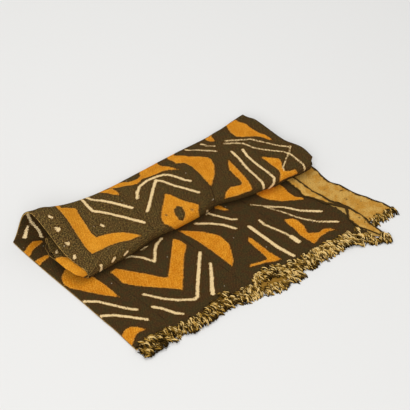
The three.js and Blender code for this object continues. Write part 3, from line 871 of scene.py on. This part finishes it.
@dataclass(frozen=True)
class PaintedCloth:
    """The painted face: dark ground, orange shapes and cream lines."""

    weave: Weave = field(default_factory=Weave)
    olive: Colour = (0.040, 0.028, 0.011)
    brown: Blot = Blot(70.0, 3.0, Dab(0.42, 0.58, 1.0, (0.049, 0.025, 0.010)))
    pit: Dab = Dab(0.36, 0.52, 0.6, (0.018, 0.010, 0.003))
    straw: Colour = (0.240, 0.138, 0.032)
    khaki: Colour = (0.270, 0.168, 0.048)
    straw_range: Range = (0.68, 0.46)
    straw_share: float = 0.22
    khaki_share: float = 0.46
    tuft: Blot = Blot(400.0, 2.0, Dab(0.70, 0.54, 0.5, (0.50, 0.31, 0.075)))
    seam: Dab = Dab(0.2, 1.6, 0.6, (0.020, 0.012, 0.005))
    lint: Dab = Dab(0.04, 0.10, 0.8, (0.60, 0.50, 0.36))
    lint_scale: float = 75.0
    lint_patches: float = 31.0
    lint_least: float = 0.56
    edge_scale: float = 160.0
    ragged: float = 5.0
    orange_wobble: float = 4.6
    cream_wobble: float = 3.2
    wear_and_highlight_wobble: float = 9.0
    halo: Dab = Dab(0.8, 5.0, 0.7, (0.060, 0.024, 0.003))
    # Tan on the worn strokes, where the cloth's own tan shows, and a thin painted highlight along the fold
    # rim.
    worn: Dab = Dab(0.2, 1.8, 0.9, (0.54, 0.33, 0.09))
    orange: Colour = (0.75, 0.292, 0.015)
    orange_edge: Range = (-0.7, 0.7)
    orange_blots: tuple[Blot, ...] = (
        Blot(22.0, 4.0, Dab(0.40, 0.62, 0.45, (0.44, 0.125, 0.004))),
        Blot(95.0, 3.0, Dab(0.40, 0.56, 0.55, (0.58, 0.175, 0.006))),
        Blot(48.0, 3.0, Dab(0.62, 0.46, 0.40, (0.84, 0.37, 0.036))),
    )
    # Darker flecks, then paler orange speckle that is a painted glint on the threads.
    orange_flecks_and_glints: tuple[Dab, ...] = (
        Dab(0.36, 0.56, 0.75, (0.44, 0.125, 0.004)),
        Dab(0.68, 0.54, 0.5, (0.93, 0.46, 0.055)),
    )
    gold: Colour = (0.78, 0.37, 0.035)
    gold_share: float = 0.2
    rim: Dab = Dab(0.2, 2.0, 0.3, (0.72, 0.42, 0.12))
    cream: Colour = (0.90, 0.68, 0.36)
    cream_edge: Range = (-0.8, 0.7)
    cream_thin: Dab = Dab(0.40, 0.58, 0.6, (0.64, 0.42, 0.17))
    # A brighter cream on the wall in the roll's mouth, painted light that lifts its lines out of the
    # mouth's shade.
    lit_wall_cream: Colour = (1.0, 0.76, 0.41)

    def ground(self, shader: Shader, flat: Socket, speckle: Socket) -> Socket:
        """Colours the dark ground, browner and greener by turns, with straw flecks.

        Args:
            shader: The material it goes into.
            flat: The cloth's flat place.
            speckle: The fine noise of the threads.

        Returns:
            The ground's colour.
        """
        flap = shader.attribute("flap")
        colour = shader.blot(self.olive, flat, self.brown)
        colour = shader.lay(colour, speckle, self.pit, flap)
        straw = shader.blend(flap, self.straw, self.khaki)
        share = shader.math("ADD", shader.math("MULTIPLY", flap, self.khaki_share), self.straw_share)
        grain = shader.math("MULTIPLY", shader.step(speckle, *self.straw_range), share)
        colour = shader.blend(grain, colour, straw)
        colour = shader.blot(colour, flat, self.tuft, flap)
        colour = shader.lay(colour, shader.attribute("seam"), self.seam)
        spots = shader.node("ShaderNodeTexVoronoi", {"Vector": flat, "Scale": self.lint_scale})
        chosen = shader.math("GREATER_THAN", shader.noise(flat, self.lint_patches, 1.0), self.lint_least)
        return shader.lay(colour, spots.outputs["Distance"], self.lint, chosen)

    def painted_orange(self, shader: Shader, flat: Socket, speckle: Socket, edge: Socket) -> Socket:
        """Colours the orange shapes.

        Args:
            shader: The material it goes into.
            flat: The cloth's flat place.
            speckle: The fine noise of the threads.
            edge: The distance from the shapes' ragged edges, in mm.

        Returns:
            The colour of the paint.
        """
        colour = self.orange
        for blot in self.orange_blots:
            colour = shader.blot(colour, flat, blot)
        # Darker flecks, and a paler speckle painted as glint on the threads.
        for fleck in self.orange_flecks_and_glints:
            colour = shader.lay(colour, speckle, fleck)
        gold = shader.math("MULTIPLY", shader.attribute("flap"), self.gold_share)
        colour = shader.blend(gold, colour, self.gold)
        return shader.lay(colour, shader.math("ABSOLUTE", edge), self.rim)

    def build(self) -> Material:
        """Makes the material.

        Returns:
            The material.
        """
        shader = Shader("painted_cloth")
        flat, speckle = self.weave.build(shader)
        rough = shader.noise(flat, self.edge_scale, 4.0)
        ragged = shader.swing(speckle, self.ragged)
        shaky = [shader.math("ADD", shader.swing(rough, wobble), ragged)
                 for wobble in (self.orange_wobble, self.cream_wobble)]
        warm = shader.math("ADD", shader.attribute("orange"), shaky[0])
        pale = shader.math("ADD", shader.attribute("cream"), shaky[1])
        colour = self.ground(shader, flat, speckle)
        colour = shader.lay(colour, shader.math("MINIMUM", warm, pale), self.halo)
        # Worn strokes get the cloth's own tan; the fold rim gets a thin tan line that is a painted
        # highlight.
        wear_and_highlight_edge = shader.math("ADD", shader.attribute("worn"), shader.swing(rough, self.wear_and_highlight_wobble))
        colour = shader.lay(colour, wear_and_highlight_edge, self.worn)
        orange = self.painted_orange(shader, flat, speckle, warm)
        colour = shader.blend(shader.step(warm, *self.orange_edge), colour, orange)
        cream = shader.lay(self.cream, speckle, self.cream_thin)
        # Inside the roll's mouth the cream is painted brighter, as lit.
        cream = shader.blend(shader.attribute("wall"), cream, self.lit_wall_cream)
        return shader.finish(shader.blend(shader.step(pale, *self.cream_edge), colour, cream))


@dataclass(frozen=True)
class ReverseCloth:
    """The tan reverse of the painted cloth."""

    weave: Weave = field(default_factory=Weave)
    tan: Colour = (0.66, 0.39, 0.095)
    brown: Blot = Blot(48.0, 5.0, Dab(0.40, 0.58, 1.0, (0.56, 0.27, 0.040)))
    fleck: Dab = Dab(0.36, 0.58, 0.55, (0.32, 0.16, 0.030))
    stain: Blot = Blot(85.0, 4.0, Dab(0.28, 0.40, 0.8, (0.055, 0.031, 0.009)))
    edge_scale: float = 90.0
    ragged: float = 11.0
    # An olive band along the lower hem on the reverse, painted shade under the upper hem and its fringe,
    # with streaks.
    olive: Colour = (0.30, 0.165, 0.022)
    streak: Blot = Blot(150.0, 3.0, Dab(0.40, 0.60, 1.0, (0.32, 0.16, 0.030)))
    band_range: Range = (24.0, 40.0)
    # Dark along the raw edges, their own dark yarn, and along the curl's bend, painted shade of the gap
    # beneath it.
    rim: Dab = Dab(1.8, 4.4, 1.0, (0.055, 0.031, 0.009))

    def build(self) -> Material:
        """Makes the material.

        Returns:
            The material.
        """
        shader = Shader("reverse_cloth")
        flat, speckle = self.weave.build(shader)
        colour = shader.blot(self.tan, flat, self.brown)
        colour = shader.lay(colour, speckle, self.fleck)
        colour = shader.blot(colour, flat, self.stain)
        ragged = shader.swing(shader.noise(flat, self.edge_scale, 4.0), self.ragged)
        # Painted shade: near the lower hem the reverse turns streaked olive, as shaded by the upper hem and
        # fringe.
        hem_shade = shader.step(shader.math("ADD", shader.attribute("front"), ragged), *self.band_range)
        colour = shader.blend(hem_shade, colour, shader.blot(self.olive, flat, self.streak))
        # Darkens the raw edges, their own dark yarn, and the curl's bend, where it is painted shade of the
        # gap under the bend.
        rim = shader.math("ADD", shader.attribute("rim"), ragged)
        return shader.finish(shader.lay(colour, rim, self.rim))


@dataclass(frozen=True)
class FringeYarn:
    """The curly yarn of the fringes, painted in shade low down and lit cream and ochre at its crests."""

    # Dark at 0 for painted shade, cream at 1 for painted light on the crests.
    stops: tuple[tuple[float, Colour], ...] = (
        (0.0, (0.020, 0.011, 0.003)), (0.3, (0.075, 0.040, 0.008)), (0.52, (0.25, 0.135, 0.020)),
        (0.74, (0.60, 0.345, 0.062)), (1.0, (0.98, 0.70, 0.28)),
    )
    fluff: Colour = (0.06, 0.034, 0.006)
    fluff_scale: float = 900.0
    fluff_share: float = 0.2
    strength: float = 0.7
    depth: float = 0.0008
    roughness: float = 0.95

    def build(self) -> Material:
        """Makes the material.

        Returns:
            The material.
        """
        shader = Shader("fringe_yarn")
        ramp = shader.node("ShaderNodeValToRGB", {"Fac": shader.attribute("shade")})
        band = ramp.color_ramp
        while len(band.elements) < len(self.stops):
            band.elements.new(0.5)
        for element, (at, colour) in zip(band.elements, self.stops):
            element.position = at
            element.color = (*colour, 1.0)
        place = shader.node("ShaderNodeTexCoord").outputs["Object"]
        fluff = shader.noise(place, self.fluff_scale, 3.0)
        shader.bump(fluff, self.strength, self.depth)
        share = shader.math("MULTIPLY", fluff, self.fluff_share)
        return shader.finish(shader.blend(share, ramp.outputs[0], self.fluff), self.roughness)


@dataclass(frozen=True)
class PaleFloor:
    """The seamless pale floor."""

    colour: Colour = (0.79, 0.785, 0.77)
    roughness: float = 0.9
    specular: float = 0.1

    def build(self) -> Material:
        """Makes the material."""
        return Shader("pale_floor").finish(self.colour, self.roughness, self.specular)


@dataclass
class Cloth:
    """The whole cloth as one sheet.

    Its grid has columns from 0 to 1 for the lower layer, to 2 for the fold, to 3 for the upper
    layer, to 4 for the bend and to 5 for the curl, and a row for each step of each turn.
    """

    fold: Fold = field(default_factory=Fold)
    layer_steps: int = 28
    arc_steps: int = 4
    curl_steps: int = 5
    turn_steps: tuple[int, ...] = (18, 6, 9, 6, 5, 4, 4, 4, 4, 3, 4, 3, 4)
    fine_cuts: int = 5
    khaki_start: float = 70.0
    khaki_length: float = 340.0
    khaki_fade: float = 0.75
    # How fast the painted highlight along the fold rim narrows from the fold's middle.
    fold_highlight: float = 6.0
    selvedge_slant: float = 0.7
    curl_slant: float = 1.4
    gather: float = 4.5
    gather_turn: float = 0.19
    gather_spread: float = 0.075
    band_end: float = 400.0
    band_fade: float = 60.0
    band_turn: float = 0.5

    def grid(self) -> bmesh.types.BMesh:
        """Makes the flat grid, x a column and y a turn, with finer cells where the cloth shows.

        Returns:
            The grid.
        """
        rows = [start + k / count for start, count in enumerate(self.turn_steps) for k in range(count)]
        rows.append(LAST_PASS + 1.0)
        counts = (self.layer_steps, self.arc_steps, self.layer_steps, self.curl_steps)
        parts = [start + np.linspace(0, 1, count + 1)[:-1] for start, count in enumerate(counts)]
        columns = np.concatenate([*parts, [4.0, 4.5, 5.0]])
        mesh = bmesh.new()
        bmesh.ops.create_grid(mesh, x_segments=len(columns) - 1, y_segments=len(rows) - 1, size=0.5)
        for vert in mesh.verts:
            column = round((vert.co.x + 0.5) * (len(columns) - 1))
            row = round((vert.co.y + 0.5) * (len(rows) - 1))
            vert.co = Vector((columns[column], rows[row], 0.0))
        shown = [face for face in mesh.faces if self.shows(*face.calc_center_median().xy)]
        edges = list(dict.fromkeys(line for face in shown for line in face.edges))
        bmesh.ops.subdivide_edges(mesh, edges=edges, cuts=self.fine_cuts, use_grid_fill=True)
        return mesh

    def shows(self, column: float, turn: float) -> bool:
        """Tells whether a cell of the grid can be seen."""
        return any(left < column < right and low < turn < high for left, right, low, high in SHOWN)

    def spread(self, column: Array, turn: Array) -> Pair:
        """Turns grid places into places across the cloth and depths in it.

        Args:
            column: Places in the list of columns.
            turn: How far round the cloth.

        Returns:
            The x and the depth of each point, in mm.
        """
        half = CLOTH_THICKNESS / 2
        start = through(EDGES, "left", turn) + FOLD_RADIUS
        lower_end = through(EDGES, "lower_right", turn)
        upper_end = through(EDGES, "upper_right", turn) - CURL_INNER_RADIUS - CLOTH_THICKNESS
        x = lower_end + (start - lower_end) * column
        depth = np.full(len(column), half)
        radius = FOLD_RADIUS - half
        angle = math.pi * (column - 1)
        on = (column >= 1) & (column < 2)
        x = np.where(on, start - radius * np.sin(angle), x)
        depth = np.where(on, FOLD_RADIUS - radius * np.cos(angle), depth)
        on = (column >= 2) & (column < 3)
        x = np.where(on, start + (upper_end - start) * (column - 2), x)
        depth = np.where(on, DOUBLE - half, depth)
        full = np.maximum(math.pi * (1 - smooth((turn - CURL_END) / (2 - CURL_END))), FLAT_ANGLE)
        bend = math.pi * (CURL_INNER_RADIUS + half) / full
        angle = full * np.clip(column - 3, 0, 1)
        run = through(EDGES, "curl", turn) * np.clip(column - 4, 0, 1)
        on = column >= 3
        x = np.where(on, upper_end + bend * np.sin(angle) + run * np.cos(angle), x)
        depth = np.where(on, DOUBLE - half + bend - bend * np.cos(angle) + run * np.sin(angle), depth)
        return x, depth

    def paint(self, column: Array, turn: Array, y: Array,
              pattern: Pattern) -> dict[str, Array]:
        """Works out the numbers that the materials read.

        Args:
            column: Each point's place in the list of columns.
            turn: How far round the cloth it is.
            y: Its y in the working frame, in mm.
            pattern: The pattern at the points.

        Returns:
            The values of each attribute, distances in mm and shares from 0 to 1.
        """
        x, upper, far = pattern.u, pattern.upper, pattern.far
        khaki = 1 - self.khaki_fade * smooth((x - self.khaki_start) / self.khaki_length)
        # Distances for the dark rim on the reverse: raw edges of dark yarn, and painted shade at the curl's
        # bend.
        curl = through(EDGES, "curl", turn)
        strip = np.minimum((column - 4) * curl, (5 - column) * curl * self.curl_slant)
        gather = self.gather * smooth(1 - np.abs(turn - self.gather_turn) / self.gather_spread)
        inner = np.where(column < 3, far, np.maximum(strip, 0) - gather)
        side = (through(EDGES, "lower_right", turn) - x) * self.selvedge_slant
        # Distance from the lower hem, for the band of painted shade on the reverse.
        front = np.where(column < 1, y - through(HEMS, "lower", x), far)
        front = front + far * smooth((x - self.band_end) / self.band_fade)
        return {
            "orange": pattern.orange(),
            "cream": pattern.drawn(STROKES),
            # Near the fold's middle a painted highlight; on the worn strokes, real wear.
            "worn": np.minimum(np.abs(column - 1.5) * self.fold_highlight, pattern.drawn(WORN)),
            "seam": pattern.drawn(SEAMS),
            "flap": np.where(upper, 0.0, khaki),
            # Marks the wall in the roll's mouth, where the cream is painted brighter as lit.
            "wall": np.where(upper & (turn > 1), 1.0, 0.0),
            "rim": np.where(column < 1, side, inner),
            "front": front + far * (turn > self.band_turn),
        }

    def build(self, materials: Sequence[Material]) -> bpy.types.Object:
        """Makes the cloth.

        Args:
            materials: The painted face's and the reverse's material.

        Returns:
            The cloth object.
        """
        mesh = self.grid()
        flat = np.array([vert.co[:2] for vert in mesh.verts])
        column, turn = flat[:, 0], flat[:, 1]
        x, depth = self.spread(column, turn)
        y = self.fold.place(x, depth, turn)[:, 1]
        upper = column > 1.5
        along = run_length(x, turn, upper, y)
        pattern = Pattern(x, along, upper)
        ridge = pattern.ridges()
        places = self.fold.place(x, depth + np.where(upper, ridge, -ridge), turn)
        for vert, place in zip(mesh.verts, places):
            vert.co = row_frame(*place)
        uv = mesh.loops.layers.uv.new("flat")
        sides = np.where(upper, x, -x) * MM
        for face in mesh.faces:
            face.smooth = True
            for loop in face.loops:
                index = loop.vert.index
                loop[uv].uv = (sides[index], along[index] * MM)
        cloth = add_object("woven_cloth", mesh)
        for name, values in self.paint(column, turn, places[:, 1], pattern).items():
            layer = cloth.data.attributes.new(name, "FLOAT", "POINT")
            layer.data.foreach_set("value", values.astype(np.float32))
        for material in materials:
            cloth.data.materials.append(material)
        solid = cloth.modifiers.new("thickness", "SOLIDIFY")
        solid.thickness = CLOTH_THICKNESS * MM
        solid.offset = 0.0
        solid.material_offset = 1
        solid.material_offset_rim = 1
        logger.info("cloth with %d points and %d faces", len(cloth.data.vertices), len(cloth.data.polygons))
        return cloth


@dataclass
class Fringe:
    """One hem's fringe of small loops of yarn that stand up at the hem and fall outwards.

    Sizes are in mm and angles in radians. A pair is a range, and scatter is along and off the hem.
    """

    name: str
    column: str
    end: float
    count: int
    base: Callable[[Array, Array], Array]
    seed: int
    start: float = -6.0
    strands: int = 4
    crest: float = 5.0
    crest_share: Range = (0.5, 1.0)
    root_inset: float = 6.0
    reach_cut: float = 5.0
    radii: Range = (0.62, 0.92)
    drift: float = 0.35
    arcs: Range = (3.3, 4.9)
    ring_sides: int = 5
    arc_steps: int = 8
    tilt: float = 0.35
    half_lengths: Range = (3.4, 6.6)
    rises: Range = (2.6, 4.6)
    low_rise: float = 0.75
    heap_rise: float = 0.4
    scatter: Range = (1.9, 1.4)
    strand_lean: float = 0.14
    lock_lean: float = 0.3
    root_light: float = 1.1
    tip_dark: float = 0.35
    shading: float = 0.5
    least_height: float = 0.1

    def loop(self, maker: random.Random, half_length: float, rise: float, lean: float) -> bmesh.types.BMesh:
        """Spins one loop of yarn from its root at the hem over its crest to its tip.

        Args:
            maker: The source of its chances.
            half_length: Half its length away from the hem, in mm.
            rise: How high its crest stands, in mm.
            lean: How far it turns from square to the hem, in radians.

        Returns:
            The loop about the origin.
        """
        mesh = bmesh.new()
        yarn = maker.uniform(*self.radii) * MM
        ring = bmesh.ops.create_circle(mesh, segments=self.ring_sides, radius=yarn,
                                       matrix=Matrix.Translation((0, rise * MM, 0)))
        drift = Vector((maker.uniform(-self.drift, self.drift) * MM, 0, 0))
        sides = list(dict.fromkeys(line for vert in ring["verts"] for line in vert.link_edges))
        bmesh.ops.spin(mesh, geom=sides, cent=(0, 0, 0), axis=(1, 0, 0), dvec=drift,
                       angle=maker.uniform(*self.arcs), steps=self.arc_steps)
        bmesh.ops.holes_fill(mesh, edges=mesh.edges[:], sides=self.ring_sides)
        bmesh.ops.recalc_face_normals(mesh, faces=mesh.faces[:])
        stretch = Matrix.Diagonal((1.0, half_length / rise, 1.0, 1.0))
        tilt = Matrix.Rotation(maker.gauss(0, self.tilt), 4, "Y")
        bmesh.ops.transform(mesh, matrix=Matrix.Rotation(lean, 4, "Z") @ tilt @ stretch, verts=mesh.verts)
        return mesh

    def strand(self, maker: random.Random, whole: bmesh.types.BMesh, shade: object, lock: Lock) -> None:
        """Adds one strand of a lock to the fringe.

        Args:
            maker: The source of its chances.
            whole: The fringe so far.
            shade: The layer that holds each point's painted lightness, its light and shade.
            lock: The lock it belongs to.
        """
        x = lock.x + maker.gauss(0, self.scatter[0])
        half_length = maker.uniform(*self.half_lengths)
        rise = maker.uniform(*self.rises) * (self.low_rise + self.heap_rise * lock.heap)
        y = lock.y - half_length + maker.gauss(0, self.scatter[1])
        level = float(self.base(np.array([x]), np.array([y]))[0])
        level += self.crest * lock.heap * maker.uniform(*self.crest_share)
        piece = self.loop(maker, half_length, rise, lock.lean + maker.gauss(0, self.strand_lean))
        data = bpy.data.meshes.new("loop")
        piece.to_mesh(data)
        piece.free()
        data.transform(Matrix.Translation(row_frame(x, y, level)))
        before = len(whole.verts)
        whole.from_mesh(data)
        bpy.data.meshes.remove(data)
        whole.verts.ensure_lookup_table()
        tone = lock.tone + maker.choice(STRAND_TONES)
        # Painted light and shade: each point is lighter the higher it stands in its loop, darkest near the
        # floor.
        for vert in whole.verts[before:]:
            vert[shade] = min(max(tone + self.shading * ((vert.co.z / MM - level) / rise - 1), 0), 1)

    def build(self, material: Material) -> bpy.types.Object:
        """Makes the fringe.

        Args:
            material: The yarn's material.

        Returns:
            The fringe object.
        """
        maker = random.Random(self.seed)
        whole = bmesh.new()
        shade = whole.verts.layers.float.new("shade")
        for _ in range(self.count):
            x = maker.uniform(self.start, self.end)
            out = maker.uniform(0, 1)
            reach, lean, tone = (float(through(TUFTS, name, x)) for name in (self.column, "lean", "tone"))
            heap = maker.uniform(0, 1) * (1 - out)
            y = float(through(HEMS, self.column, x)) + self.root_inset - out * (reach - self.reach_cut)
            lean = math.radians(lean) + maker.gauss(0, self.lock_lean)
            own = (maker.choice(LOCK_TONES) + tone) * (self.root_light - self.tip_dark * out)
            lock = Lock(x, y, heap, lean, own)
            for _ in range(self.strands):
                self.strand(maker, whole, shade, lock)
        for vert in whole.verts:
            vert.co.z = max(vert.co.z, self.least_height * MM)
        for face in whole.faces:
            face.smooth = True
        fringe = add_object(self.name, whole)
        fringe.data.materials.append(material)
        logger.info("%s with %d faces", self.name, len(fringe.data.polygons))
        return fringe


@dataclass
class Studio:
    """The floor, the lights and the camera, in metres."""

    floor_size: float = 6.0
    brightness: float = 0.49
    lamps: tuple[Lamp, ...] = (
        Lamp("overhead", (0.2, 0.8, 2.4), 2.0, 23.5),
        Lamp("front", (-3.2, -2.9, 3.0), 2.6, 153.0),
    )
    camera_target: tuple[float, float, float] = (0.0490, 0.0492, 0.0)
    camera_place: tuple[float, float, float] = (-1.5131, -1.6959, 1.8299)
    lens: float = 140.5
    sensor: float = 36.0

    def aim(self, name: str, data: bpy.types.ID, place: Sequence[float],
            target: Sequence[float]) -> bpy.types.Object:
        """Places a light or a camera and turns it to a target.

        Args:
            name: The object's name.
            data: The light or the camera.
            place: Where it hangs.
            target: What it looks at.

        Returns:
            The object.
        """
        thing = bpy.data.objects.new(name, data)
        thing.location = place
        thing.rotation_euler = (Vector(target) - Vector(place)).to_track_quat("-Z", "Y").to_euler()
        bpy.context.scene.collection.objects.link(thing)
        return thing

    def floor(self) -> None:
        """Makes the floor."""
        mesh = bmesh.new()
        bmesh.ops.create_grid(mesh, x_segments=1, y_segments=1, size=self.floor_size)
        plane = add_object("floor", mesh)
        plane.data.materials.append(PaleFloor().build())

    def light(self, lamp: Lamp) -> None:
        """Adds one soft light aimed at the throw.

        Args:
            lamp: The light's sizes.
        """
        data = bpy.data.lights.new(lamp.name, "AREA")
        data.shape = "SQUARE"
        data.size = lamp.size
        data.energy = lamp.power
        self.aim(lamp.name, data, lamp.place, (0, 0, 0))

    def world(self) -> None:
        """Makes the even white surroundings."""
        world = bpy.data.worlds.new("studio")
        world.use_nodes = True
        back = world.node_tree.nodes["Background"]
        back.inputs["Color"].default_value = (1.0, 1.0, 1.0, 1.0)
        back.inputs["Strength"].default_value = self.brightness
        bpy.context.scene.world = world
        bpy.context.scene.view_settings.view_transform = "Standard"

    def camera(self) -> None:
        """Makes the camera at the photo's angle."""
        data = bpy.data.cameras.new("camera")
        data.lens = self.lens
        data.sensor_width = self.sensor
        bpy.context.scene.camera = self.aim("camera", data, self.camera_place, self.camera_target)

    def build(self) -> None:
        """Makes the whole studio."""
        self.floor()
        for lamp in self.lamps:
            self.light(lamp)
        self.world()
        self.camera()


def lower_base(x: Array, y: Array) -> Array:
    """Gives the height that the lower fringe lies at."""
    return np.zeros(len(x))


def upper_base(x: Array, y: Array) -> Array:
    """Gives the height that the upper fringe lies at."""
    return CLOTH_THICKNESS + LAYER_GAP + front_lift(x, y)


def main() -> None:
    """Builds the throw, its fringes and the studio."""
    logging.basicConfig(level=logging.INFO, format="%(message)s")
    cloth = Cloth().build((PaintedCloth().build(), ReverseCloth().build()))
    yarn = FringeYarn().build()
    fringes = (
        Fringe("lower_yarn", "lower", 591.0, 480, lower_base, 11),
        Fringe("upper_yarn", "upper", 523.0, 560, upper_base, 23),
    )
    lower, upper = (fringe.build(yarn) for fringe in fringes)
    for piece, node, slot in ((cloth, "cloth", "cloth"), (lower, "fringe_lower", "fringe"),
                              (upper, "fringe_upper", "fringe")):
        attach(piece, "root")
        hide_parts(node)
    Studio().build()


if __name__ == "__main__":
    main()
